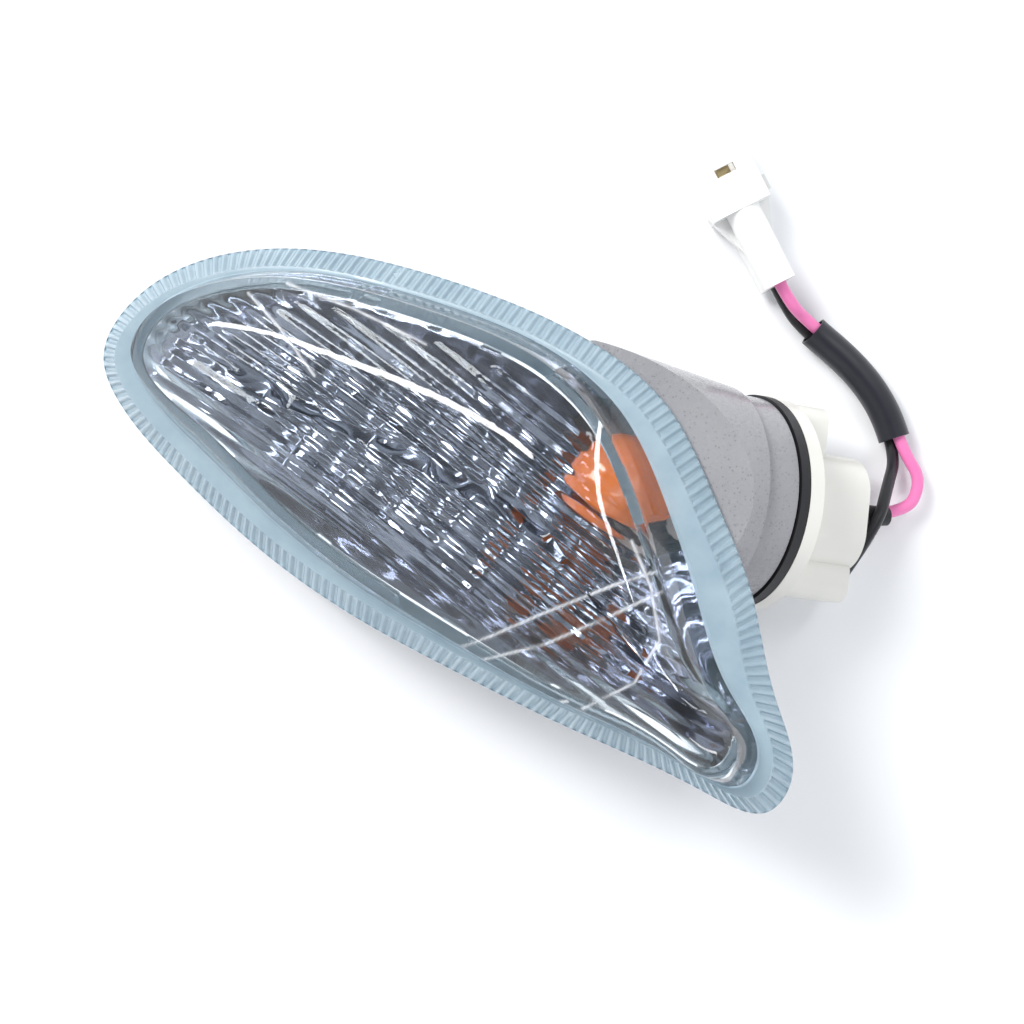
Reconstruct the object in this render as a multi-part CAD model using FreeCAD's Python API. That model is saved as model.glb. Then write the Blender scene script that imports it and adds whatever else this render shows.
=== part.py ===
"""Motorcycle turn signal lamp: lens, housing and reflector, a twist-in bulb holder with its wedge
bulb, and a short pair of leads that ends in a two-way connector. It lies on its back."""

import math
import os

import FreeCAD
import Part

V = FreeCAD.Vector

# Lens. Its rim lies in a plane tilted about Y, here called the rim plane.
RIM_TILT = 13.0
RIM_HEIGHT = 33.1
RIM_THICK = 4.2
RIM_EDGE = 1.0
CHAMFER = 3.4
LENS_WALL = 2.2
FACE_HEIGHT = 7.5
FACE_FOOT = 0.68
DOME = [(0.0, 0.0), (0.2, 1.9), (0.45, 3.3), (0.75, 4.0)]
FILM_GAP = 0.3
FILM_THICK = 0.25
OUTER = [
    (-67.6, 25.0),
    (-63.2, 33.0),
    (-50.4, 39.9),
    (-35.4, 41.2),
    (-16.4, 37.5),
    (-5.0, 33.7),
    (11.2, 26.1),
    (23.1, 16.2),
    (30.6, 1.8),
    (36.0, -12.1),
    (39.7, -28.2),
    (41.7, -41.0),
    (39.0, -44.6),
    (29.2, -42.3),
    (5.6, -31.8),
    (-10.3, -24.3),
    (-24.1, -17.3),
    (-41.5, -5.8),
    (-55.6, 6.8),
    (-64.5, 16.8),
]
FACE = [
    (-58.6, 24.9),
    (-55.9, 30.1),
    (-48.3, 34.2),
    (-35.0, 35.7),
    (-17.5, 32.2),
    (-6.5, 28.5),
    (6.2, 22.3),
    (14.0, 14.8),
    (20.5, 1.5),
    (24.7, -12.0),
    (30.5, -26.0),
    (35.1, -36.2),
    (33.4, -38.6),
    (26.6, -36.4),
    (9.1, -28.0),
    (-9.2, -18.2),
    (-21.5, -10.8),
    (-36.9, 1.2),
    (-48.3, 12.0),
    (-55.5, 18.8),
]
SPINE = [V(-42.0, 21.0, 0.0), V(4.0, 0.0, 0.0), V(24.0, -24.0, 0.0)]

# Housing bowl and its two mounting pillars.
FLANGE_INSET = 1.0
FLANGE_THICK = 2.5
BOWL_WALL = 2.0
BOWL_DEPTH = 13.0
BOWL_SLOPE = -0.15
BOWL = [(3.5, 0.0), (5.0, 0.35), (8.0, 0.7), (13.0, 1.0)]
PILLARS = [(-47.0, 24.0), (27.0, -33.0)]
PILLAR_R = 4.0
PILOT_R = 1.75
PILOT_DEPTH = 10.0
TAB = (-14.0, -17.4)
REFLECTOR_THICK = 1.3
REFLECTOR_HOLE_R = 10.8

# Neck. Its axis points backwards and down, and everything of the bulb holder is turned about it.
RING = V(35.8, 1.9, 17.1)
AXIS = V(0.8744, -0.1229, -0.4695)
SIDE = V(0.1083, 0.9924, -0.0581)
UP = V(0.4731, 0.0, 0.8811)
NECK_R = 16.5
NECK_LONG = 6.0
BORE_R = 14.0
SHOULDER_R = (17.5, 20.8)
SHOULDER_END = -30.0
LEDGE_R = 10.2
LEDGE = (-4.0, -2.0)
NOTCH_R = 13.2
TWIST = 35.0

# Bulb holder.
TUBE_R = 9.6
TUBE_FRONT = -13.0
HUB_R = 13.5
PLATE_R = 17.0
PLATE = (2.0, 4.5)
SEAL_GAP = 0.3
LUG_R = 12.6
LUG = (-6.5, -4.3)
BOSS = (18.6, 15.0, 20.0)
SLOT = (10.2, 4.0)

# Wedge bulb.
GLOBE_R = 6.5
GLOBE_MIDDLE = -23.2
GLASS_WALL = 0.7
WEDGE = (9.4, 2.6)

# Leads.
WIRE_R = 1.0
SLEEVE_R = 2.6
SLEEVE_BORE = 2.25
SLEEVE_TRIM = (3.0, 2.2)
BEND_SHARE = 0.45
PAIR = V(0.468, 0.372, 0.8) * 1.08
MIDDLE = [V(63.7, 9.5, 2.65), V(60.9, 17.6, 2.65), V(55.9, 24.2, 2.65), V(47.9, 30.9, 2.65)]
PINK_EXIT = [V(52.5, -0.4, 9.3), V(64.2, -0.8, 4.2), V(67.3, 5.0, 3.3)]
BLACK_EXIT = [V(52.9, -10.6, 10.1), V(59.0, -2.0, 10.6), V(61.0, 4.0, 6.9)]
BOOT_R = (2.0, 1.55)
BOOT = (1.3, 9.4)

# Connector, in its own frame: X from the tail to the tip, Z up from the table.
TAIL = V(43.3, 37.0, 0.0)
POINTING = V(-0.45, 0.893, 0.0)
TAIL_LONG = 13.4
TAIL_R = 2.85
TAIL_BORE = 1.9
TAIL_Z = (3.0, 8.6)
HEAD = (12.4, 10.2, 11.6)
HOOD = (8.0, 7.4, 8.8)
LEAD_IN = 3.2
LEAD_END = 4.0

RIM = FreeCAD.Placement(V(0, 0, RIM_HEIGHT), FreeCAD.Rotation(V(0, 1, 0), -RIM_TILT))
NECK = FreeCAD.Placement(RING, FreeCAD.Rotation(SIDE, UP, AXIS))
PLUG_TURN = FreeCAD.Rotation(POINTING, V(-POINTING.y, POINTING.x, 0), V(0, 0, 1))
PLUG = FreeCAD.Placement(TAIL, PLUG_TURN)


# Outlines and bowls, in the rim plane.


def spine_point(x, y):
    """The nearest point of the spine, the line that every inset moves towards."""
    nearest = []
    for start, end in zip(SPINE, SPINE[1:]):
        along = end - start
        share = (V(x, y, 0) - start).dot(along) / along.dot(along)
        nearest.append(start + along * min(1.0, max(0.0, share)))
    return min(nearest, key=lambda spot: spot.distanceToPoint(V(x, y, 0)))


def inset(points, distance):
    moved = []
    for x, y in points:
        towards = spine_point(x, y) - V(x, y, 0)
        step = towards.normalize() * distance
        moved.append((x + step.x, y + step.y))
    return moved


def shrunk(points, share):
    """Each point moved this share of its way to the spine."""
    moved = []
    for x, y in points:
        spot = spine_point(x, y)
        moved.append((x + (spot.x - x) * share, y + (spot.y - y) * share))
    return moved


def blend(first, second, share):
    return [(a + (c - a) * share, b + (d - b) * share) for (a, b), (c, d) in zip(first, second)]


def ring(points, height, slope=0.0):
    curve = Part.BSplineCurve()
    curve.interpolate(Points=[V(x, y, height + slope * x) for x, y in points], PeriodicFlag=True)
    return Part.Wire([curve.toShape()])


def loft(rings):
    return Part.makeLoft(rings, True, True)


def slab(points, low, high):
    return Part.Face(ring(points, low)).extrude(V(0, 0, high - low))


def bowl(extra, lift, top):
    """The housing's bowl, made narrower by extra and shallower by lift, and open at height top."""
    floor = -RIM_THICK - FLANGE_THICK
    rings = [ring(inset(OUTER, BOWL[0][0] + extra), top)]
    for distance, share in BOWL[1:]:
        height = floor - BOWL_DEPTH * share + lift
        rings.append(ring(inset(OUTER, distance + extra), height, BOWL_SLOPE * share))
    return loft(rings)


# Solids along the neck's axis, in the neck's own frame.


def disc(radius, low, high, inner=0.0):
    solid = Part.makeCylinder(radius, high - low, V(0, 0, low))
    if inner:
        solid = solid.cut(Part.makeCylinder(inner, high - low + 2, V(0, 0, low - 1)))
    return solid


def bar(size_x, size_y, low, high, x=0.0, y=0.0):
    return Part.makeBox(size_x, size_y, high - low, V(x - size_x / 2, y - size_y / 2, low))


def sector(radius, low, high, angle, width):
    wedge = Part.makeCylinder(radius, high - low, V(0, 0, low), V(0, 0, 1), width)
    wedge.rotate(V(0, 0, 0), V(0, 0, 1), angle - width / 2)
    return wedge


def oval(size_x, size_y, low, high, corner):
    box = bar(size_x, size_y, low, high)
    edges = [e for e in box.Edges if abs(e.tangentAt(e.FirstParameter).z) > 0.99]
    return box.makeFillet(corner, edges)


def moved_by(shape, placement):
    copy = shape.copy()
    copy.Placement = placement.multiply(copy.Placement)
    return copy


# Lamp.


def dome(lift):
    """The lens face as a low dome, raised by lift, on the face outline."""
    return [ring(shrunk(FACE, share), FACE_HEIGHT + rise + lift) for share, rise in DOME]


def lens():
    foot = blend(OUTER, FACE, FACE_FOOT)
    edge = slab(OUTER, -RIM_THICK, RIM_EDGE - RIM_THICK)
    chamfer = loft([ring(OUTER, RIM_EDGE - RIM_THICK), ring(inset(OUTER, CHAMFER), 0.0)])
    block = loft([ring(foot, -RIM_EDGE)] + dome(0.0))
    solid = edge.fuse(chamfer).fuse(block)
    room = [ring(inset(foot, LENS_WALL), -RIM_THICK - 1.0)]
    for share, rise in DOME:
        room.append(ring(shrunk(inset(FACE, LENS_WALL), share), FACE_HEIGHT + rise - LENS_WALL))
    return moved_by(solid.cut(loft(room)), RIM)


def film():
    """The clear film that still covers the face, as a thin even cap."""
    low = FACE_HEIGHT - 1.0
    cap = loft([ring(FACE, low)] + dome(FILM_GAP + FILM_THICK))
    hollow = loft([ring(FACE, low)] + dome(FILM_GAP))
    band = slab(inset(FACE, -3.0), low - 1.0, FACE_HEIGHT + FILM_GAP)
    return moved_by(cap.cut(hollow).cut(band), RIM)


def shoulder(shrink):
    """The flared tunnel between bowl and neck, in the rim frame."""
    start = SHOULDER_END + shrink
    cone = Part.makeCone(SHOULDER_R[1] - shrink, SHOULDER_R[0] - shrink, -NECK_LONG - start, V(0, 0, start))
    below = Part.makeBox(200, 200, 100, V(-100, -100, -RIM_THICK - shrink - 100))
    cone = moved_by(moved_by(cone, NECK), RIM.inverse())
    return cone.common(below)


def pillar_length(x):
    """From the rim plane at x down to the table, along the rim's normal."""
    tilt = math.radians(RIM_TILT)
    height = RIM_HEIGHT + x * math.sin(tilt) - PILLAR_R * math.sin(tilt)
    return height / math.cos(tilt)


def pillars():
    solids = []
    for x, y in PILLARS:
        start = RIM_THICK + FLANGE_THICK + BOWL_WALL + 1.0
        end = pillar_length(x)
        solids.append(Part.makeCylinder(PILLAR_R, end - start, V(x, y, -end)))
    return solids


def pilot_holes():
    holes = []
    for x, y in PILLARS:
        end = pillar_length(x)
        holes.append(Part.makeCylinder(PILOT_R, PILOT_DEPTH + 1, V(x, y, -end - 1)))
    return holes


def ledge_notches():
    holes = [sector(NOTCH_R, LEDGE[0] - 0.5, LEDGE[1] + 0.5, angle + TWIST, 36) for angle in (90, 210, 330)]
    holes.append(disc(LEDGE_R, LEDGE[0] - 1, LEDGE[1] + 1))
    return holes


def tab():
    """A mounting ear that stands out below the rim's long edge."""
    x, y = TAB
    ear = Part.makeBox(17, 8, 2.5, V(-8.5, -4, -RIM_THICK - FLANGE_THICK))
    ear = ear.makeFillet(3.0, [e for e in ear.Edges if abs(e.tangentAt(e.FirstParameter).z) > 0.99])
    ear.rotate(V(0, 0, 0), V(0, 0, 1), -27)
    ear.translate(V(x, y, 0))
    return ear


def housing():
    floor = -RIM_THICK - FLANGE_THICK
    flange = slab(inset(OUTER, FLANGE_INSET), floor, -RIM_THICK)
    outside = flange.fuse(bowl(0.0, 0.0, floor)).fuse(shoulder(0.0)).fuse(tab())
    outside = outside.fuse(pillars())
    inside = bowl(BOWL_WALL, BOWL_WALL, -RIM_THICK + 0.5)
    neck = moved_by(moved_by(disc(NECK_R, -NECK_LONG - 1.0, 0.0), NECK), RIM.inverse())
    body = outside.fuse(neck).cut(inside).cut(shoulder(BOWL_WALL)).cut(pilot_holes())
    bore = disc(BORE_R, -NECK_LONG - 2.0, 1.0)
    hollow = moved_by(moved_by(bore, NECK), RIM.inverse())
    ledge = disc(BORE_R + 0.6, LEDGE[0], LEDGE[1]).cut(ledge_notches())
    ledge = moved_by(moved_by(ledge, NECK), RIM.inverse())
    body = body.cut(hollow).fuse(ledge)
    return moved_by(body.removeSplitter(), RIM)


def reflector():
    gap = BOWL_WALL + 0.7
    shell = bowl(gap, gap, -RIM_THICK - 0.3)
    shell = shell.cut(bowl(gap + REFLECTOR_THICK, gap + REFLECTOR_THICK, -RIM_THICK + 0.5))
    hole = disc(REFLECTOR_HOLE_R, -32.0, 2.0)
    hole = moved_by(moved_by(hole, NECK), RIM.inverse())
    return moved_by(shell.cut(hole), RIM)


# Bulb holder and bulb, in the neck frame.


def lobe(x_low, x_high, half, low, high, corner):
    width = x_high - x_low
    box = Part.makeBox(width, 2 * half, high - low, V(x_low, -half, low))
    tall = [e for e in box.Edges if abs(e.tangentAt(e.FirstParameter).z) > 0.99]
    return box.makeFillet(corner, tall)


def holder(cuts):
    plate = disc(PLATE_R, PLATE[0], PLATE[1])
    hub = disc(HUB_R, -1.5, PLATE[0])
    tube = disc(TUBE_R, TUBE_FRONT, 0.0)
    boss = oval(BOSS[0], BOSS[1], PLATE[0] + 1, BOSS[2], 6.5)
    upper = lobe(7.0, 16.3, 4.8, PLATE[0] + 1, 12.5, 2.5)
    lower = lobe(-14.2, -7.0, 4.8, PLATE[0] + 1, BOSS[2] - 0.5, 2.5)
    solid = plate.fuse([hub, tube, boss, upper, lower])
    for angle in (90, 210, 330):
        solid = solid.fuse(sector(LUG_R, LUG[0], LUG[1], angle, 28))
    slot = bar(SLOT[0], SLOT[1], TUBE_FRONT - 1, 8.0)
    mouth = disc(GLOBE_R + 0.4, TUBE_FRONT - 1, TUBE_FRONT + 1.6)
    window = bar(3.4, 6.0, 9.0, 17.0, x=12.6, y=0.0)
    solid = moved_by(solid.cut([slot, mouth, window]), NECK)
    return solid.cut(cuts).removeSplitter()


def seal():
    ring_face = disc(PLATE_R - 0.1, SEAL_GAP, PLATE[0], BORE_R - 0.2)
    return moved_by(ring_face, NECK)


def contact(side):
    strip = bar(3.0, 0.4, -11.0, 6.5, x=2.6 * side, y=1.66 * side)
    foot = bar(3.0, 1.2, 6.5, 7.4, x=2.6 * side, y=1.26 * side)
    return moved_by(strip.fuse(foot), NECK)


def glass_form(shrink, low):
    """Globe, barrel and taper towards the base, narrowed by shrink and ending at height low."""
    radius = GLOBE_R - shrink
    globe = Part.makeSphere(radius, V(0, 0, GLOBE_MIDDLE))
    barrel = Part.makeCylinder(radius, 6.0, V(0, 0, GLOBE_MIDDLE))
    shoulder_low = GLOBE_MIDDLE + 6.0
    taper = Part.makeCone(radius, radius * 0.62, low - shoulder_low, V(0, 0, shoulder_low))
    return globe.fuse([barrel, taper]).removeSplitter()


def bulb_glass():
    outside = glass_form(0.0, -12.0)
    inside = glass_form(GLASS_WALL, -13.2)
    wedge = bar(WEDGE[0], WEDGE[1], -12.5, -3.0)
    return moved_by(outside.fuse(wedge).cut(inside), NECK)


def filament():
    coil = []
    for step in range(5):
        torus = Part.makeTorus(0.45, 0.14, V(-1.6 + 0.8 * step, 0, -21.5), V(1, 0, 0))
        coil.append(torus)
    core = Part.makeCylinder(0.34, 4.4, V(-2.2, 0, -21.5), V(1, 0, 0))
    return moved_by(core.fuse(coil), NECK)


def supports():
    posts = []
    for side in (-1, 1):
        posts.append(Part.makeCylinder(0.25, 4.6, V(2.5 * side, 0, -22.0)))
    return moved_by(Part.makeCompound(posts), NECK)


def bead():
    return moved_by(oval(6.4, 2.0, -17.3, -15.6, 0.9), NECK)


# Leads.


def run_shape(points, trim=(0.0, 0.0)):
    """Straight runs joined by tangent arcs. Returns the wire and its sharpest arc's radius."""
    spots = list(points)
    reaches = []
    radii = []
    for before, here, after in zip(spots, spots[1:], spots[2:]):
        turn = (here - before).getAngle(after - here)
        reach = BEND_SHARE * min((here - before).Length, (after - here).Length)
        reaches.append(reach)
        radii.append(reach / math.tan(turn / 2))
    first = spots[0] + (spots[1] - spots[0]).normalize() * trim[0]
    last = spots[-1] + (spots[-2] - spots[-1]).normalize() * trim[1]
    edges = []
    at = first
    for before, here, after, reach, radius in zip(spots, spots[1:], spots[2:], reaches, radii):
        enter = here + (before - here).normalize() * reach
        leave = here + (after - here).normalize() * reach
        inward = ((before - here).normalize() + (after - here).normalize()).normalize()
        centre_far = math.hypot(reach, radius)
        middle = here + inward * (centre_far - radius)
        edges.append(Part.LineSegment(at, enter).toShape())
        edges.append(Part.Arc(enter, middle, leave).toShape())
        at = leave
    edges.append(Part.LineSegment(at, last).toShape())
    return Part.Wire(edges), min(radii)


def tube_along(points, radius, trim=(0.0, 0.0)):
    path, sharpest = run_shape(points, trim)
    start = path.Edges[0].Vertexes[0].Point
    circle = Part.makeCircle(radius, start, points[1] - points[0])
    solid = path.makePipeShell([Part.Wire([circle])], True, True)
    return solid, path.Length, sharpest


def wire_route(start, sign, height):
    inner = [spot + PAIR * sign for spot in MIDDLE]
    mouth = TAIL - POINTING * LEAD_IN + V(0, 0, height)
    end = TAIL + POINTING * LEAD_END + V(0, 0, height)
    return start + inner + [mouth, end]


PINK = wire_route(PINK_EXIT, 1, TAIL_Z[1])
BLACK = wire_route(BLACK_EXIT, -1, TAIL_Z[0])


def lead(points, name):
    solid, length, sharpest = tube_along(points, WIRE_R)
    share = solid.Volume / (math.pi * WIRE_R**2 * length)
    print(f"{name}: length {length:.1f}, sharpest radius {sharpest:.1f}, volume share {share:.3f}")
    return solid


def sleeve():
    outside, length, sharpest = tube_along(MIDDLE, SLEEVE_R, SLEEVE_TRIM)
    inside, _, _ = tube_along(MIDDLE, SLEEVE_BORE, (SLEEVE_TRIM[0] - 0.5, SLEEVE_TRIM[1] - 0.5))
    print(f"lead_sleeve: length {length:.1f}, sharpest radius {sharpest:.1f}")
    return outside.cut(inside)


def boot():
    direction = (PINK[1] - PINK[0]).normalize()
    base = PINK[0] + direction * BOOT[0]
    cone = Part.makeCone(BOOT_R[0], BOOT_R[1], BOOT[1] - BOOT[0], base, direction)
    bore = Part.makeCylinder(WIRE_R + 0.05, 20, PINK[0] - direction * 2, direction)
    return cone.cut(bore)


def wire_holes():
    """What the holder has to leave free for the two wires and the boot."""
    cuts = []
    for points in (PINK, BLACK):
        direction = (points[1] - points[0]).normalize()
        cuts.append(Part.makeCylinder(WIRE_R + 0.05, 8, points[0], direction))
    direction = (PINK[1] - PINK[0]).normalize()
    base = PINK[0] + direction * BOOT[0]
    cuts.append(Part.makeCylinder(BOOT_R[0] + 0.05, 8, base, direction))
    return cuts


# Connector, in its own frame.


def block(x_low, x_high, width, z_low, z_high, y=0.0):
    return Part.makeBox(x_high - x_low, width, z_high - z_low, V(x_low, y - width / 2, z_low))


def connector_housing():
    end = TAIL_LONG + HEAD[0]
    head = block(TAIL_LONG, end, HEAD[1], 0.0, HEAD[2])
    solid = head.makeFillet(2.2, [e for e in head.Edges if abs(e.tangentAt(e.FirstParameter).x) > 0.99])
    for height in TAIL_Z:
        solid = solid.fuse(Part.makeCylinder(TAIL_R, TAIL_LONG + 1, V(0, 0, height), V(1, 0, 0)))
    solid = solid.fuse(block(1.0, TAIL_LONG, 3.0, 3.0, 8.6))
    corners = [V(5.5, 1.0, 4.6), V(5.5, 2.0, 4.6), V(TAIL_LONG + 1, 5.4, 4.6), V(TAIL_LONG + 1, 1.0, 4.6)]
    wing = Part.Face(Part.makePolygon(corners + corners[:1])).extrude(V(0, 0, 2.4))
    solid = solid.fuse([wing, wing.mirror(V(0, 0, 0), V(0, 1, 0))])
    hood = block(end - HOOD[0], end + 1, HOOD[1], 1.4, 1.4 + HOOD[2])
    cuts = [hood.makeFillet(1.2, [e for e in hood.Edges if abs(e.tangentAt(e.FirstParameter).x) > 0.99])]
    for height in TAIL_Z:
        cuts.append(Part.makeCylinder(TAIL_BORE, TAIL_LONG - 1, V(-1, 0, height), V(1, 0, 0)))
        cuts.append(block(TAIL_LONG - 4, end, 2.5, height - 0.5, height + 0.5))
    cuts.append(block(19.4, 20.8, 3.4, 9.0, 13.0))
    cuts.append(block(14.54, 17.26, 12.0, 5.14, 6.46, y=-1.8))
    return moved_by(solid.cut(cuts), PLUG)


def connector_pin(height):
    blade = block(6.0, TAIL_LONG + HEAD[0] - 3.2, 2.2, height - 0.4, height + 0.4)
    return moved_by(blade, PLUG)


def wire_seal(height):
    plug = Part.makeCylinder(TAIL_BORE - 0.05, 3.0, V(0.4, 0, height), V(1, 0, 0))
    plug = plug.cut(Part.makeCylinder(WIRE_R + 0.03, 9, V(-2, 0, height), V(1, 0, 0)))
    return moved_by(plug, PLUG)


def terminal_lock():
    return moved_by(block(14.6, 17.2, 8.4, 5.2, 6.4, y=-1.9), PLUG)


def main():
    nodes = {
        "lens": lens(),
        "protective_film": film(),
        "housing": housing(),
        "reflector": reflector(),
        "bulb_holder": holder(wire_holes()),
        "holder_seal": seal(),
        "contact_live": contact(1),
        "contact_ground": contact(-1),
        "bulb_glass": bulb_glass(),
        "bulb_filament": filament(),
        "bulb_supports": supports(),
        "bulb_bead": bead(),
        "wire_boot": boot(),
    }
    box = FreeCAD.BoundBox()
    for shape in nodes.values():
        box.add(shape.optimalBoundingBox(False, False))
    shift = V(-(box.XMin + box.XMax) / 2, -(box.YMin + box.YMax) / 2, -box.ZMin)
    nodes["lead_wire_pink"] = lead(PINK, "lead_wire_pink")
    nodes["lead_wire_black"] = lead(BLACK, "lead_wire_black")
    nodes["lead_sleeve"] = sleeve()
    nodes["connector_housing"] = connector_housing()
    nodes["connector_pin_upper"] = connector_pin(TAIL_Z[1])
    nodes["connector_pin_lower"] = connector_pin(TAIL_Z[0])
    nodes["wire_seal_upper"] = wire_seal(TAIL_Z[1])
    nodes["wire_seal_lower"] = wire_seal(TAIL_Z[0])
    nodes["terminal_lock"] = terminal_lock()
    os.makedirs("parts", exist_ok=True)
    for name, shape in nodes.items():
        shape.translate(shift)
        print(name, "valid", shape.isValid(), "solids", len(shape.Solids), "volume", round(shape.Volume, 1))
        shape.exportStep(f"parts/{name}.step")
    print("origin shift", shift)
    print("neck ring centre", RING + shift)


main()
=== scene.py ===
# %% [markdown]
# # A turn signal lamp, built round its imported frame
#
# The frame holds every solid of the lamp in metres, already in place. This lesson keeps the solids whose
# shape is right, gives them better finishes, and builds anew what needs finer detail: the lens with its
# prism teeth, the fluted reflector, the creased film and the soft leads.

import math

import bmesh
import bpy
import numpy as np
from mathutils import Matrix, Vector


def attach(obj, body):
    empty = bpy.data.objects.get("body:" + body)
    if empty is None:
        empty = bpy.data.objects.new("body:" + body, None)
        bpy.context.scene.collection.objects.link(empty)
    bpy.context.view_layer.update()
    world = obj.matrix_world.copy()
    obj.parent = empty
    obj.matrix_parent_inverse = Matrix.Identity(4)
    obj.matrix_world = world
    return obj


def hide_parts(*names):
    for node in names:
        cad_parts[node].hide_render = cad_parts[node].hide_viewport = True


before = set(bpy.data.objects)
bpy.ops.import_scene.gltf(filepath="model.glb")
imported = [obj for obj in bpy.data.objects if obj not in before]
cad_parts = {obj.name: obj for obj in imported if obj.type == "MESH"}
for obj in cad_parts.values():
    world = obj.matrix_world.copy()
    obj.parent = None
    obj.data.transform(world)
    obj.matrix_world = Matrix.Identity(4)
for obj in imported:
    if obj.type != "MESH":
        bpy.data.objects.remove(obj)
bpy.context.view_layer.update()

# %% [markdown]
# ## Where things are
#
# The real lamp was drawn lying on its back on a table. The rim of its lens lies in a plane that is tilted
# a little about Y, and the bulb holder turns about the neck's axis. The same numbers are used here, moved
# by the small shift that puts the frame's origin under the middle of the lamp.

# %% Placement
MM = 0.001
SHIFT = Vector((1.787, 1.920, 0.023))
RIM_TILT = math.radians(13)
RIM_HEIGHT = 33.1
NECK_AXIS = Vector((0.8744, -0.1229, -0.4695))
NECK_RING = Vector((35.8, 1.9, 17.1))


def from_rim(points):
    """Points of the rim plane, in millimetres, to the frame, in metres."""
    x, y, z = np.asarray(points, float).T
    s, c = math.sin(RIM_TILT), math.cos(RIM_TILT)
    moved = np.stack([x * c - z * s, y, x * s + z * c + RIM_HEIGHT], axis=1)
    return (moved + np.array(SHIFT)) * MM


def in_frame(point):
    return (Vector(point) + SHIFT) * MM


# %% [markdown]
# ## Camera, floor and light
#
# A small product is often shown from straight above on a white table. A long lens keeps the shape free
# of distortion. One large soft lamp at the upper left gives each part a soft shadow to its lower right.

# %% Studio
scene = bpy.context.scene
scene.view_settings.view_transform = "Standard"
camera = bpy.data.objects.new("camera", bpy.data.cameras.new("camera"))
camera.data.lens = 85
camera.location = in_frame((0, 0, 400))
scene.collection.objects.link(camera)
scene.camera = camera


def soft_light(name, place, size, power, colour, mirrored=False):
    data = bpy.data.lights.new(name, "AREA")
    data.shape = "RECTANGLE"
    data.size, data.size_y = size
    data.energy = power
    data.color = colour
    light = bpy.data.objects.new(name, data)
    light.location = place
    light.rotation_euler = (-Vector(place)).to_track_quat("-Z", "Y").to_euler()
    light.visible_glossy = mirrored
    scene.collection.objects.link(light)


soft_light("key", (-0.40, 0.42, 0.62), (0.35, 0.35), 5.4, (1.0, 0.99, 0.97))
soft_light("fill", (0.50, -0.30, 0.70), (0.60, 0.60), 1.7, (0.93, 0.96, 1.0))
soft_light("strip_left", (-0.34, 0.30, 0.60), (0.03, 0.45), 0.9, (1.0, 1.0, 1.0), mirrored=True)
soft_light("strip_right", (0.30, 0.34, 0.62), (0.03, 0.45), 0.8, (0.96, 0.98, 1.0), mirrored=True)
soft_light("strip_near", (0.05, -0.42, 0.58), (0.45, 0.03), 0.6, (1.0, 1.0, 1.0), mirrored=True)
print("camera at", tuple(round(v, 3) for v in camera.location))

# %% [markdown]
# ## A small language for finishes
#
# A finish is a graph of nodes. Writing it as Python expressions keeps it readable, so one small class
# wraps a socket and turns + - * / into Math nodes. Every other node comes from the method `node`.


# %% Socket class
class Socket:
    """A node's output, with arithmetic."""

    def __init__(self, tree, socket):
        self.tree = tree
        self.socket = socket

    def node(self, kind, output=0, settings=None, **values):
        made = self.tree.nodes.new(kind)
        for key, value in (settings or {}).items():
            if key == "stops":
                for stop, (place, colour) in zip(made.color_ramp.elements, value):
                    stop.position = place
                    stop.color = colour
            else:
                setattr(made, key, value)
        for key, value in values.items():
            key = int(key[1:]) if key[0] == "n" and key[1:].isdigit() else key.replace("_", " ")
            if isinstance(value, Socket):
                self.tree.links.new(value.socket, made.inputs[key])
            else:
                made.inputs[key].default_value = value
        return Socket(self.tree, made.outputs[output])

    def maths(self, operation, first, second):
        return self.node("ShaderNodeMath", settings={"operation": operation}, n0=first, n1=second)

    def __add__(self, other):
        return self.maths("ADD", self, other)

    def __sub__(self, other):
        return self.maths("SUBTRACT", self, other)

    def __rsub__(self, other):
        return self.maths("SUBTRACT", other, self)

    def __mul__(self, other):
        return self.maths("MULTIPLY", self, other)

    def __gt__(self, other):
        return self.maths("GREATER_THAN", self, other)

    __radd__ = __add__
    __rmul__ = __mul__


def finish(name, **constants):
    """A new material with one Principled shader. Returns it, its place socket and a setter."""
    material = bpy.data.materials.new(name)
    material.use_nodes = True
    tree = material.node_tree
    shader = tree.nodes["Principled BSDF"]
    for key, value in constants.items():
        shader.inputs[key.replace("_", " ")].default_value = value
    place = Socket(tree, tree.nodes.new("ShaderNodeTexCoord").outputs["Object"])

    def drive(**links):
        for key, value in links.items():
            tree.links.new(value.socket, shader.inputs[key.replace("_", " ")])

    return material, place, drive


def noise(place, scale, detail=3.0, roughness=0.55):
    return place.node("ShaderNodeTexNoise", "Fac", Vector=place, Scale=scale, Detail=detail, Roughness=roughness)


def mix(place, factor, low, high):
    """A colour between low and high."""
    settings = {"data_type": "RGBA"}
    return place.node("ShaderNodeMix", 2, settings, n0=factor, n6=(*low, 1), n7=(*high, 1))


def bump(place, height, strength, distance):
    return place.node("ShaderNodeBump", "Normal", Height=height, Strength=strength, Distance=distance)


# %% [markdown]
# ## The room
#
# Shiny parts show the room round them. An even white room would make chrome and glass look like grey
# paint, so this one is dim overhead and bright low down. Each slope of the reflector then has its own tone.

# %% Room
world = bpy.data.worlds.new("studio")
scene.world = world
world.use_nodes = True
room = Socket(world.node_tree, world.node_tree.nodes.new("ShaderNodeTexCoord").outputs["Generated"])
upward = room.node("ShaderNodeSeparateXYZ", "Z", Vector=room)
stops = [(0.40, (0.93, 0.95, 0.98, 1)), (0.97, (0.10, 0.105, 0.12, 1))]
tone = room.node("ShaderNodeValToRGB", "Color", {"stops": stops}, Fac=upward)
world.node_tree.links.new(tone.socket, world.node_tree.nodes["Background"].inputs["Color"])

# %% [markdown]
# ## Plastics and rubber
#
# Most of the lamp is moulded plastic. A moulded face is never one colour: pigment drifts slowly over it,
# and the mould's grain breaks up the gloss. Slow noise moves the colour, fine noise moves the roughness
# and the bump.


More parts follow.
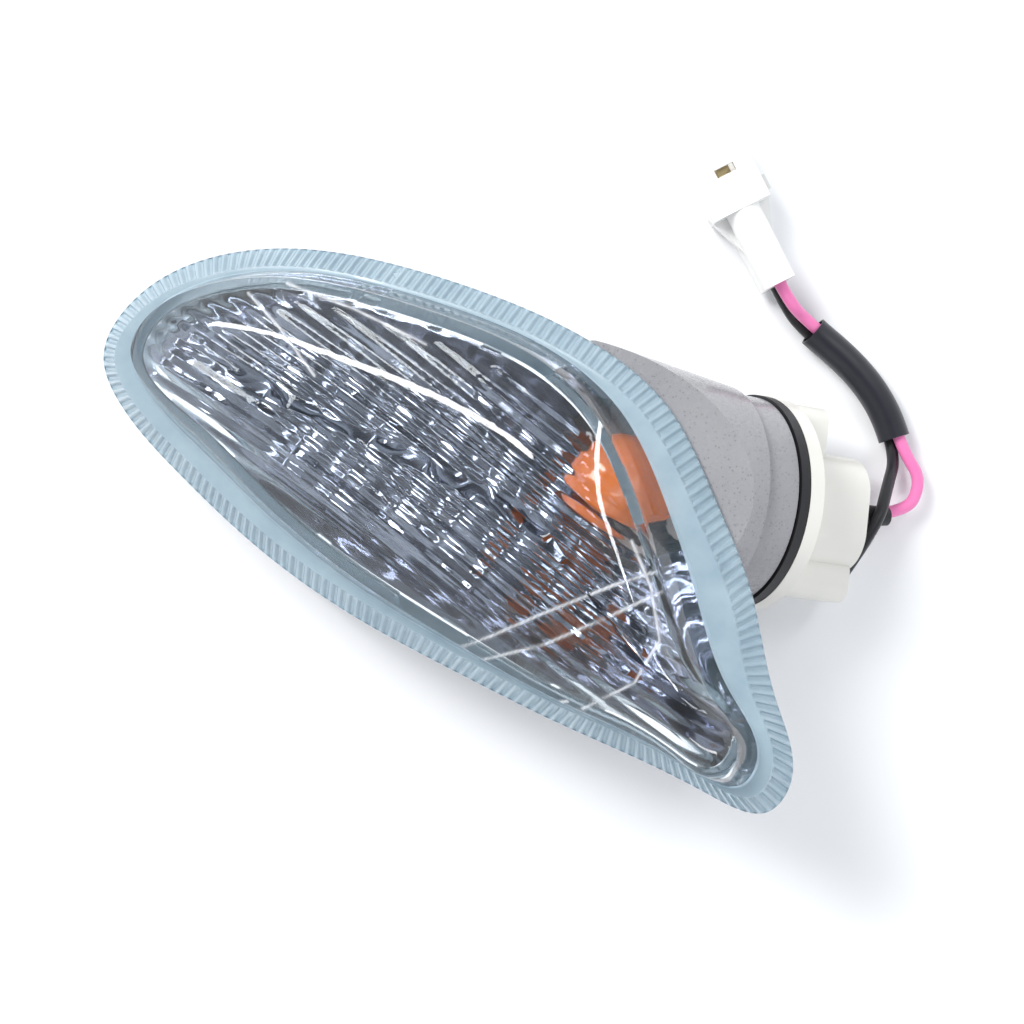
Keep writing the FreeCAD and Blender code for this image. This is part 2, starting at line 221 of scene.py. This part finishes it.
# %% Moulded plastics
def moulded(name, low, high, roughness, grain, strength, speckle=0.0, **constants):
    material, place, drive = finish(name, **constants)
    drift = noise(place, 60, 2)
    fine = noise(place, grain, 4)
    colour = mix(place, drift, low, high)
    if speckle:
        dots = place.node("ShaderNodeTexVoronoi", "Distance", Vector=place, Scale=1500.0)
        dark = (dots * -1 + 0.28) * speckle
        dark = place.node("ShaderNodeClamp", n0=dark)
        tint = tuple(0.45 * v for v in low)
        settings = {"data_type": "RGBA"}
        colour = place.node("ShaderNodeMix", 2, settings, n0=dark, n6=colour, n7=(*tint, 1))
    drive(
        Base_Color=colour,
        Roughness=fine * 0.2 + (roughness - 0.1),
        Normal=bump(place, fine, strength, 0.00012),
    )
    return material


housing_grey = moulded("housing_grey", (0.24, 0.24, 0.255), (0.34, 0.34, 0.355), 0.27, 900, 0.22, 3.0, Coat_Weight=0.3)
holder_milk = moulded("holder_milk", (0.66, 0.65, 0.61), (0.80, 0.79, 0.74), 0.34, 500, 0.12, Coat_Weight=0.2)
connector_white = moulded("connector_white", (0.80, 0.80, 0.79), (0.90, 0.90, 0.89), 0.38, 700, 0.12)
lock_white = moulded("lock_white", (0.68, 0.68, 0.66), (0.76, 0.76, 0.74), 0.42, 700, 0.12)
seal_rubber = moulded("seal_rubber", (0.008, 0.008, 0.010), (0.018, 0.018, 0.021), 0.48, 800, 0.25)
boot_rubber = moulded("boot_rubber", (0.010, 0.010, 0.012), (0.022, 0.022, 0.025), 0.45, 800, 0.25)
sleeve_black = moulded("sleeve_black", (0.010, 0.011, 0.016), (0.026, 0.027, 0.036), 0.36, 450, 0.25)
wire_pink = moulded("wire_pink", (0.78, 0.17, 0.42), (0.84, 0.24, 0.50), 0.36, 500, 0.08)
wire_black = moulded("wire_black", (0.008, 0.008, 0.010), (0.018, 0.018, 0.022), 0.34, 500, 0.08)
wire_seal_grey = moulded("wire_seal_grey", (0.55, 0.55, 0.53), (0.66, 0.66, 0.63), 0.5, 700, 0.1)

# %% [markdown]
# ## Metals
#
# The contacts and pins are tinned brass and the filament is drawn wire. The reflector is a thin metal
# film on plastic: smooth, dark where it mirrors the dark bowl, with faint clouding.


# %% Metals
def metal(name, low, high, roughness, grain, strength, distance=0.00005):
    material, place, drive = finish(name, Metallic=1.0)
    cloud = noise(place, grain, 3)
    shade = mix(place, noise(place, 90, 2), low, high)
    drive(Base_Color=shade, Roughness=cloud * 0.14 + roughness, Normal=bump(place, cloud, strength, distance))
    return material


contact_brass = metal("contact_brass", (0.62, 0.47, 0.22), (0.78, 0.66, 0.42), 0.24, 700, 0.15)
drawn_wire = metal("drawn_wire", (0.40, 0.40, 0.42), (0.56, 0.56, 0.58), 0.25, 1500, 0.2)
reflector_chrome = metal("reflector_chrome", (0.22, 0.23, 0.28), (0.46, 0.47, 0.54), 0.04, 160, 0.08, 0.0002)

# %% [markdown]
# ## Clear and amber glass
#
# The lens is clear plastic with a faint blue tint. The bulb is amber all through, and its skin is
# pebbled so that the filament can't be seen as one bright line. The bulb is not lit, yet it gets a
# faint painted glow, pebbled like its skin, that makes it shine amber.


# %% Glass
def clear_lens_finish():
    material, place, drive = finish(
        "lens_clear", Transmission_Weight=1.0, IOR=1.49, Specular_IOR_Level=0.6, Coat_Weight=0.15
    )
    haze = noise(place, 140, 3)
    drive(
        Base_Color=mix(place, noise(place, 25, 2), (0.86, 0.93, 0.97), (0.95, 0.98, 1.0)),
        Roughness=haze * 0.05,
        Normal=bump(place, noise(place, 320, 2), 0.06, 0.0002),
    )
    return material


def amber_finish():
    # painted glow: the bulb is not lit, yet a faint emission makes it shine amber
    material, place, drive = finish("bulb_amber", IOR=1.5, Coat_Weight=0.8, Emission_Strength=0.22)
    pebble = place.node(
        "ShaderNodeTexVoronoi", "Distance", {"feature": "SMOOTH_F1"}, Vector=place, Scale=620.0
    )
    # the painted glow is brighter or darker red with the pebbles
    painted_glow = mix(place, pebble, (1.0, 0.22, 0.0), (0.60, 0.07, 0.0))
    drive(
        Emission_Color=painted_glow,
        Base_Color=mix(place, noise(place, 130, 3), (0.80, 0.13, 0.002), (0.95, 0.24, 0.004)),
        Roughness=pebble * 0.2 + 0.12,
        Normal=bump(place, pebble, 0.5, 0.0004),
    )
    return material


def rim_finish():
    """The rim is the same plastic, but its prisms and weld scatter light, so that it looks frosted."""
    material, place, drive = finish("lens_rim_frost", Transmission_Weight=0.42, IOR=1.45, Coat_Weight=0.4)
    cloud = noise(place, 160, 3)
    drive(
        Base_Color=mix(place, cloud, (0.36, 0.50, 0.60), (0.62, 0.76, 0.84)),
        Roughness=cloud * 0.2 + 0.12,
        Normal=bump(place, noise(place, 420, 2), 0.15, 0.0002),
    )
    return material


lens_clear = clear_lens_finish()
lens_rim = rim_finish()
bulb_amber = amber_finish()
print("finishes", len(bpy.data.materials))

# %% [markdown]
# ## The leads
#
# A soft lead is one smooth line with a round section. A NURBS spline whose control points are the route
# gives it even bends. The route's points are those of the frame's own tubes: out of the holder, over
# each other, through the black sleeve and up into the connector's tail.

# %% Routes
PAIR = Vector((0.468, 0.372, 0.8)) * 1.08
MIDDLE = [Vector(p) for p in ((63.7, 9.5, 2.65), (60.9, 17.6, 2.65), (55.9, 24.2, 2.65), (47.9, 30.9, 2.65))]
PINK_EXIT = [Vector(p) for p in ((52.5, -0.4, 9.3), (64.2, -0.8, 4.2), (67.3, 5.0, 3.3))]
BLACK_EXIT = [Vector(p) for p in ((52.9, -10.6, 10.1), (59.0, -2.0, 10.6), (61.0, 4.0, 6.9))]
TAIL = Vector((43.3, 37.0, 0.0))
POINTING = Vector((-0.45, 0.893, 0.0))
WIRE_R = 1.0


def wire_route(start, sign, height):
    mouth = TAIL - POINTING * 3.2 + Vector((0, 0, height))
    end = TAIL + POINTING * 4.0 + Vector((0, 0, height))
    return start + [spot + PAIR * sign for spot in MIDDLE] + [mouth, end]


def soft_line(name, points, radius, material):
    curve = bpy.data.curves.new(name, "CURVE")
    curve.dimensions = "3D"
    curve.resolution_u = 16
    curve.bevel_depth = radius * MM
    curve.bevel_resolution = 6
    curve.use_fill_caps = True
    spline = curve.splines.new("NURBS")
    spline.points.add(len(points) - 1)
    for knot, point in zip(spline.points, points):
        knot.co = (*in_frame(point), 1)
    spline.order_u = 3
    spline.use_endpoint_u = True
    curve.materials.append(material)
    piece = bpy.data.objects.new(name, curve)
    scene.collection.objects.link(piece)
    return piece


pink = soft_line("wire_pink_lead", wire_route(PINK_EXIT, 1, 8.6), WIRE_R, wire_pink)
black = soft_line("wire_black_lead", wire_route(BLACK_EXIT, -1, 3.0), WIRE_R, wire_black)


def centre_line(piece):
    """The points of a lead's own smooth line."""
    bare = piece.copy()
    bare.data = piece.data.copy()
    bare.data.bevel_depth = 0
    scene.collection.objects.link(bare)
    bpy.context.view_layer.update()
    mesh = bpy.data.meshes.new_from_object(bare)
    line = [v.co.copy() for v in mesh.vertices]
    bpy.data.objects.remove(bare)
    bpy.data.meshes.remove(mesh)
    return line


def line_length(line):
    return sum((b - a).length for a, b in zip(line, line[1:]))


pink_line = centre_line(pink)
black_line = centre_line(black)
print("lead lengths", round(line_length(pink_line), 4), round(line_length(black_line), 4))

# %% [markdown]
# ## The sleeve
#
# The sleeve is a short piece of flexible tube pushed over both leads. It is swept along the line midway
# between them, with a real bore, so that its open mouths look like cut tube.


# %% Sleeve
def new_piece(name, mesh, material, angle=35):
    mesh.materials.append(material)
    for face in mesh.polygons:
        face.use_smooth = True
    mesh.set_sharp_from_angle(angle=math.radians(angle))
    piece = bpy.data.objects.new(name, mesh)
    scene.collection.objects.link(piece)
    return piece


def nearest(line, point):
    return min(range(len(line)), key=lambda i: (line[i] - point).length)


def midway(first_line, second_line, start, end):
    """Points midway between two lines, from near start to near end."""
    low, high = nearest(first_line, start), nearest(first_line, end)
    path = []
    for point in first_line[low : high + 1]:
        path.append((point + second_line[nearest(second_line, point - PAIR * 2 * MM)]) / 2)
    return path


def hollow_tube(name, path, outer, bore, material, sides=32):
    rings = []
    for i, point in enumerate(path):
        ahead = (path[min(i + 1, len(path) - 1)] - path[max(i - 1, 0)]).normalized()
        side = ahead.cross(Vector((0, 0, 1))).normalized()
        over = side.cross(ahead)
        for radius in (outer, bore):
            for k in range(sides):
                turn = 2 * math.pi * k / sides
                rings.append(point + (side * math.cos(turn) + over * math.sin(turn)) * radius)
    faces = []
    per = 2 * sides
    for i in range(len(path) - 1):
        for part in (0, sides):
            for k in range(sides):
                a, b = i * per + part + k, i * per + part + (k + 1) % sides
                faces.append((a, b, b + per, a + per) if part else (b, a, a + per, b + per))
    for base, flip in ((0, False), ((len(path) - 1) * per, True)):
        for k in range(sides):
            a, b = base + k, base + (k + 1) % sides
            faces.append((a, b, b + sides, a + sides) if not flip else (b, a, a + sides, b + sides))
    mesh = bpy.data.meshes.new(name)
    mesh.from_pydata(rings, [], faces)
    return new_piece(name, mesh, material)


sleeve_path = midway(pink_line, black_line, in_frame((62.7, 12.3, 3.5)), in_frame((49.6, 29.5, 3.5)))
sleeve_path = sleeve_path[::2]
sleeve = hollow_tube("lead_sleeve_tube", sleeve_path, 2.6 * MM, 2.25 * MM, sleeve_black)
print("sleeve length", round(line_length(sleeve_path), 4))

for piece in (pink, black, sleeve):
    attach(piece, "holder")
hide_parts("lead_wire_pink")
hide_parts("lead_wire_black")
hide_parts("lead_sleeve")

# %% [markdown]
# ## Outlines
#
# The lens is a leaf. Two closed curves describe it: the rim's outer edge and the edge of the domed face.
# Both have their knots at matching places, so a ring between them is a plain blend. Rings further in
# move towards a spine that runs along the leaf's middle.

# %% Closed curves
OUTER = np.array(
    [
        (-67.6, 25.0), (-63.2, 33.0), (-50.4, 39.9), (-35.4, 41.2), (-16.4, 37.5),
        (-5.0, 33.7), (11.2, 26.1), (23.1, 16.2), (30.6, 1.8), (36.0, -12.1),
        (39.7, -28.2), (41.7, -41.0), (39.0, -44.6), (29.2, -42.3), (5.6, -31.8),
        (-10.3, -24.3), (-24.1, -17.3), (-41.5, -5.8), (-55.6, 6.8), (-64.5, 16.8),
    ]
)
FACE = np.array(
    [
        (-58.6, 24.9), (-55.9, 30.1), (-48.3, 34.2), (-35.0, 35.7), (-17.5, 32.2),
        (-6.5, 28.5), (6.2, 22.3), (14.0, 14.8), (20.5, 1.5), (24.7, -12.0),
        (30.5, -26.0), (35.1, -36.2), (33.4, -38.6), (26.6, -36.4), (9.1, -28.0),
        (-9.2, -18.2), (-21.5, -10.8), (-36.9, 1.2), (-48.3, 12.0), (-55.5, 18.8),
    ]
)
SPINE = np.array([(-42.0, 21.0), (4.0, 0.0), (24.0, -24.0)])


def spine_points(knots):
    """For each knot, the nearest point of the spine."""
    best = []
    for knot in knots:
        found = []
        for start, end in zip(SPINE, SPINE[1:]):
            along = end - start
            share = np.clip((knot - start) @ along / (along @ along), 0, 1)
            found.append(start + along * share)
        best.append(min(found, key=lambda spot: np.linalg.norm(spot - knot)))
    return np.array(best)


def inset(knots, distance):
    towards = spine_points(knots) - knots
    return knots + towards / np.linalg.norm(towards, axis=1, keepdims=True) * distance


def shrunk(knots, share):
    return knots + (spine_points(knots) - knots) * share


class ClosedCurve:
    """A smooth closed cubic through knots, read at places in knot units."""

    def __init__(self, knots):
        self.knots = np.asarray(knots, float)
        count = len(self.knots)
        step = np.linalg.norm(np.roll(self.knots, -1, 0) - self.knots, axis=1)
        before = np.roll(step, 1)
        rows = np.zeros((count, count))
        right = np.zeros((count, 2))
        for i in range(count):
            rows[i, i - 1] = 1 / before[i]
            rows[i, i] = 2 / before[i] + 2 / step[i]
            rows[i, (i + 1) % count] = 1 / step[i]
            ahead = (self.knots[(i + 1) % count] - self.knots[i]) / step[i] ** 2
            behind = (self.knots[i] - self.knots[i - 1]) / before[i] ** 2
            right[i] = 3 * (ahead + behind)
        self.slope = np.linalg.solve(rows, right)
        self.step = step

    def at(self, places):
        first = np.floor(places).astype(int) % len(self.knots)
        after = (first + 1) % len(self.knots)
        t = (places - np.floor(places))[:, None]
        step = self.step[first][:, None]
        hermite = (
            (2 * t**3 - 3 * t**2 + 1) * self.knots[first]
            + (t**3 - 2 * t**2 + t) * step * self.slope[first]
            + (3 * t**2 - 2 * t**3) * self.knots[after]
            + (t**3 - t**2) * step * self.slope[after]
        )
        return hermite


def even_places(knots, count):
    """Places that divide the curve into equal lengths."""
    dense = np.linspace(0, len(knots), 8001)
    line = ClosedCurve(knots).at(dense % len(knots))
    run = np.concatenate([[0], np.cumsum(np.linalg.norm(np.diff(line, axis=0), axis=1))])
    return np.interp(np.arange(count) / count * run[-1], run, dense)


def ring(knots, places, height):
    """One ring of points. Height is a number or a function of x and y."""
    flat = ClosedCurve(knots).at(places)
    z = height(flat[:, 0], flat[:, 1]) if callable(height) else np.full(len(flat), float(height))
    return np.column_stack([flat, z])


def skin(name, rings, material, angle=35, caps=True):
    """A mesh of quads between rings, with its two end rings filled."""
    count = len(rings[0])
    points = from_rim(np.concatenate(rings))
    faces = []
    for r in range(len(rings) - 1):
        for k in range(count):
            a, b = r * count + k, r * count + (k + 1) % count
            faces.append((a, b, b + count, a + count))
    if caps:
        last = (len(rings) - 1) * count
        faces.append(tuple(range(count)))
        faces.append(tuple(range(last, last + count)))
    mesh = bpy.data.meshes.new(name)
    mesh.from_pydata(points.tolist(), [], faces)
    form = bmesh.new()
    form.from_mesh(mesh)
    bmesh.ops.triangulate(form, faces=[f for f in form.faces if len(f.verts) > 4])
    bmesh.ops.dissolve_degenerate(form, dist=2e-6, edges=form.edges)
    bmesh.ops.recalc_face_normals(form, faces=form.faces)
    form.to_mesh(mesh)
    form.free()
    return new_piece(name, mesh, material, angle)


# %% [markdown]
# ## The lens
#
# The lens is moulded in one shot. From outside in it has a narrow edge, a sloping ring of prism teeth, a
# flat band, a steep wall and a domed face. The inside of the face carries shallow flutes along the leaf,
# which pull every reflection behind it into streaks.

# %% Lens
TEETH = 190
PER_TOOTH = 4
ALONG = np.array([0.826, -0.563])
OVER = np.array([0.563, 0.826])


def dome_height(share):
    return 7.5 + 4.05 * (1 - (1 - share) ** 2.6)


def ridges(amount, pitch):
    """A triangle wave, 0 to 1."""
    part = amount / pitch
    return 2 * np.abs(part - np.floor(part + 0.5))


def fluted(base, depth, pitch):
    """A height function with flutes along the leaf that bend slightly."""

    def height(x, y):
        across = x * OVER[0] + y * OVER[1] + 1.6 * np.sin((x * ALONG[0] + y * ALONG[1]) / 22)
        return base - depth * ridges(across, pitch)

    return height


def tooth_ring(knots, places, low, drop):
    points = ring(knots, places, low)
    points[:, 2] -= np.tile([0, 0, drop, drop], TEETH)
    return points


places = even_places(OUTER, TEETH * PER_TOOTH)
foot = OUTER + (FACE - OUTER) * 0.68
shares = [0.02, 0.05, 0.09] + [0.13 + 0.021 * k for k in range(40)]
inner_face = inset(FACE, 2.2)
lens_rings = []
for share in reversed(shares):
    depth = 0.28 * min(1.0, share / 0.15)
    lens_rings.append(ring(shrunk(inner_face, share), places, fluted(dome_height(share) - 2.2, depth, 2.4)))
lens_rings += [
    ring(inner_face, places, 5.0),
    ring(inset(foot, 2.2), places, -3.9),
    ring(inset(foot, 1.9), places, -4.2),
    ring(inset(OUTER, 0.15), places, -4.2),
    ring(OUTER, places, -4.05),
    ring(OUTER, places, -3.35),
    tooth_ring(inset(OUTER, 0.12), places, -3.05, 0.55),
    tooth_ring(inset(OUTER, 3.0), places, -0.30, 0.60),
    ring(inset(OUTER, 3.25), places, -0.05),
    ring(inset(OUTER, 3.6), places, 0.0),
    ring(OUTER + (FACE - OUTER) * 0.655, places, 0.0),
    ring(OUTER + (FACE - OUTER) * 0.70, places, 0.35),
    ring(OUTER + (FACE - OUTER) * 0.72, places, 0.9),
    ring(OUTER + (FACE - OUTER) * 0.955, places, 6.6),
    ring(OUTER + (FACE - OUTER) * 0.975, places, 7.1),
    ring(FACE, places, 7.5),
]
for share in shares:
    lens_rings.append(ring(shrunk(FACE, share), places, dome_height(share)))
lens = skin("lens_shell", lens_rings, lens_clear, angle=24)
lens.data.materials.append(lens_rim)
RIM_NORMAL = Vector((-math.sin(RIM_TILT), 0, math.cos(RIM_TILT)))
for face in lens.data.polygons:
    above = (face.center - in_frame((0, 0, RIM_HEIGHT))).dot(RIM_NORMAL)
    face.material_index = int(above < 0.2 * MM)
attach(lens, "lamp")
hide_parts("lens")
print("lens faces", len(lens.data.polygons))

# %% [markdown]
# ## The reflector
#
# The reflector is a thin bowl that lies inside the housing. Its floor is fluted along the leaf and cut
# across into facets, so that one bulb shows as many small images. A round hole on the neck's axis lets
# the bulb in, and is cut with a Boolean.

# %% Reflector
FLOOR = -6.7
BOWL = [(3.5, 0.0), (5.0, 0.35), (8.0, 0.7), (13.0, 1.0)]


def bowl_row(step):
    """Inset and depth share at a step from 0 to 3 down the bowl's side."""
    low = min(int(step), 2)
    part = step - low
    return tuple(a + (b - a) * part for a, b in zip(BOWL[low], BOWL[low + 1]))


def faceted(lift, share, depth):
    """The bowl's height at a depth share, with flutes and facets of this depth."""

    def height(x, y):
        across = x * OVER[0] + y * OVER[1] + 2.0 * np.sin((x * ALONG[0] + y * ALONG[1]) / 25)
        along = x * ALONG[0] + y * ALONG[1]
        base = FLOOR - 13.0 * share + lift - 0.15 * share * x
        scallop = np.abs(np.sin(math.pi * across / 4.6)) - 0.5
        pillow = np.abs(np.sin(math.pi * along / 9.0)) - 0.5
        return base + depth * scallop + 0.8 * depth * pillow

    return height


def bowl_rings(extra, places, depth, top, steps):
    rings = [ring(inset(OUTER, 3.5 + extra), places, top)]
    for k in range(1, 19):
        distance, share = bowl_row(k / 6)
        rings.append(ring(inset(OUTER, distance + extra), places, faceted(extra, share, depth * k / 18)))
    edge = inset(OUTER, 13.0 + extra)
    for k in range(1, steps):
        rings.append(ring(shrunk(edge, k * 0.97 / steps), places, faceted(extra, 1.0, depth)))
    return rings


bowl_places = even_places(OUTER, 560)
front = bowl_rings(4.6, bowl_places, 1.1, -4.6, 64)
back = bowl_rings(2.9, bowl_places, 0.0, -4.6, 12)
reflector = skin("reflector_bowl", front[::-1] + back, reflector_chrome, angle=30)


def bored(piece, radius, start, length):
    """Cuts a round hole on the neck's axis."""
    form = bmesh.new()
    ring_spot = in_frame(NECK_RING + NECK_AXIS * (start + length / 2))
    turn = NECK_AXIS.to_track_quat("Z", "Y").to_matrix().to_4x4()
    bmesh.ops.create_cone(
        form, cap_ends=True, segments=72, radius1=radius * MM, radius2=radius * MM, depth=length * MM,
        matrix=Matrix.Translation(ring_spot) @ turn,
    )
    mesh = bpy.data.meshes.new("drill")
    form.to_mesh(mesh)
    form.free()
    drill = bpy.data.objects.new("drill", mesh)
    scene.collection.objects.link(drill)
    cut = piece.modifiers.new("bore", "BOOLEAN")
    cut.operation = "DIFFERENCE"
    cut.solver = "EXACT"
    cut.object = drill
    bpy.context.view_layer.update()
    result = bpy.data.meshes.new_from_object(piece.evaluated_get(bpy.context.evaluated_depsgraph_get()))
    piece.modifiers.clear()
    piece.data = result
    bpy.data.objects.remove(drill)


bored(reflector, 10.8, -32, 34)
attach(reflector, "lamp")
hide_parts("reflector")
print("reflector faces", len(reflector.data.polygons))

# %% [markdown]
# ## The protective film
#
# A new lamp often still wears its film. It lies tight on the face and is hardly visible, except where it
# is creased: there it stands up a little and turns white, partly as creased film whitens and partly
# as a painted highlight. Each crease is a line on the face, and a number stored on every vertex says
# how near the crease is. That number lifts the film, clouds it and paints the crease highlight white.

# %% Film
CREASES = [
    [(-38.8, 33.2), (-33.5, 28.0), (-27.6, 20.4)],
    [(-33.0, 34.6), (-22.0, 30.4), (-10.8, 24.9)],
    [(-11.6, -22.2), (-1.0, -18.4), (7.3, -14.9), (18.0, -10.6), (29.0, -7.0)],
    [(-8.0, -23.4), (7.3, -19.5), (18.0, -14.9), (28.6, -9.6)],
    [(12.6, -29.0), (21.0, -24.8), (24.5, -18.7), (23.0, -11.0), (20.2, -4.3)],
    [(0.5, -27.6), (5.6, -28.6), (10.3, -27.9)],
    [(28.0, -13.4), (30.3, -20.0), (31.2, -25.5)],
]


def crease_strength(x, y):
    """1 on a crease and 0 away from it."""
    near = np.full(len(x), 9.0)
    for line in CREASES:
        for (ax, ay), (bx, by) in zip(line, line[1:]):
            along = np.array([bx - ax, by - ay])
            share = np.clip(((x - ax) * along[0] + (y - ay) * along[1]) / (along @ along), 0, 1)
            near = np.minimum(near, np.hypot(x - ax - share * along[0], y - ay - share * along[1]))
    return np.exp(-((near / 0.24) ** 2))


def film_finish():
    material, place, drive = finish("film_clear", IOR=1.4, Coat_Weight=0.3)
    crease_white_and_highlight = place.node("ShaderNodeAttribute", "Fac", {"attribute_name": "crease_white_and_highlight"})
    streak = noise(place, 220, 3)
    drive(
        # painted highlight: near a crease the film turns whiter and less clear, partly its own whitening
        Base_Color=mix(place, crease_white_and_highlight, (0.78, 0.84, 0.92), (0.97, 0.98, 1.0)),
        Roughness=streak * 0.12 + 0.06,
        Alpha=crease_white_and_highlight * (noise(place, 260, 3) * 1.1 - 0.12) + streak * 0.03,
        Normal=bump(place, noise(place, 90, 2), 0.25, 0.0006),
    )
    return material


film_places = even_places(FACE, 760)
film_rings = [ring(FACE, film_places, 7.85)]
for k in range(1, 90):
    share = k * 0.0108
    film_rings.append(ring(shrunk(FACE, share), film_places, dome_height(share) + 0.35))
crease_white_and_highlight = []
for row in film_rings:
    strength = crease_strength(row[:, 0], row[:, 1])
    row[:, 2] += 0.30 * strength
    crease_white_and_highlight.append(strength)
film = skin("film_sheet", film_rings, film_finish(), angle=60, caps=False)
table = film.data.attributes.new("crease_white_and_highlight", "FLOAT", "POINT")
strengths = np.concatenate(crease_white_and_highlight)
if len(film.data.vertices) == len(strengths):
    table.data.foreach_set("value", strengths.astype(np.float32))
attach(film, "lamp")
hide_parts("protective_film")
print("film points", len(film.data.vertices), len(strengths))

# %% [markdown]
# ## Finishes for the solids that stay
#
# The housing, the holder, the bulb and the connector already have the right shape. Each only needs its
# own finish; the housing, the holder and the connector also get a narrow bevel that catches the light
# as a moulded edge does.

# %% Carried-over solids
FINISH_OF = {
    "housing": housing_grey,
    "bulb_holder": holder_milk,
    "holder_seal": seal_rubber,
    "contact_live": contact_brass,
    "contact_ground": contact_brass,
    "bulb_glass": bulb_amber,
    "bulb_filament": drawn_wire,
    "bulb_supports": drawn_wire,
    "bulb_bead": lens_clear,
    "wire_boot": boot_rubber,
    "connector_housing": connector_white,
    "connector_pin_upper": contact_brass,
    "connector_pin_lower": contact_brass,
    "wire_seal_upper": wire_seal_grey,
    "wire_seal_lower": wire_seal_grey,
    "terminal_lock": lock_white,
}
for node, material in FINISH_OF.items():
    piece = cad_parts[node]
    for holder in piece.material_slots:
        holder.material = material
for node in ("bulb_holder", "connector_housing", "housing"):
    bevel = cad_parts[node].modifiers.new("moulded edge", "BEVEL")
    bevel.width = 0.00025
    bevel.segments = 2
    bevel.limit_method = "ANGLE"
    bevel.angle_limit = math.radians(40)
    bevel.harden_normals = False
print("finished", len(FINISH_OF), "solids")


# %% Floor
def floor_finish():
    material, place, drive = finish("table_white", Specular_IOR_Level=0.15)
    drive(
        Base_Color=mix(place, noise(place, 12, 2), (0.90, 0.91, 0.93), (0.94, 0.95, 0.96)),
        Roughness=noise(place, 200, 2) * 0.1 + 0.7,
    )
    return material


form = bmesh.new()
bmesh.ops.create_grid(form, x_segments=8, y_segments=8, size=1.5)
floor_mesh = bpy.data.meshes.new("table")
form.to_mesh(floor_mesh)
form.free()
floor = new_piece("table", floor_mesh, floor_finish())
floor.location.z = -0.00005

# %% Update
bpy.context.view_layer.update()
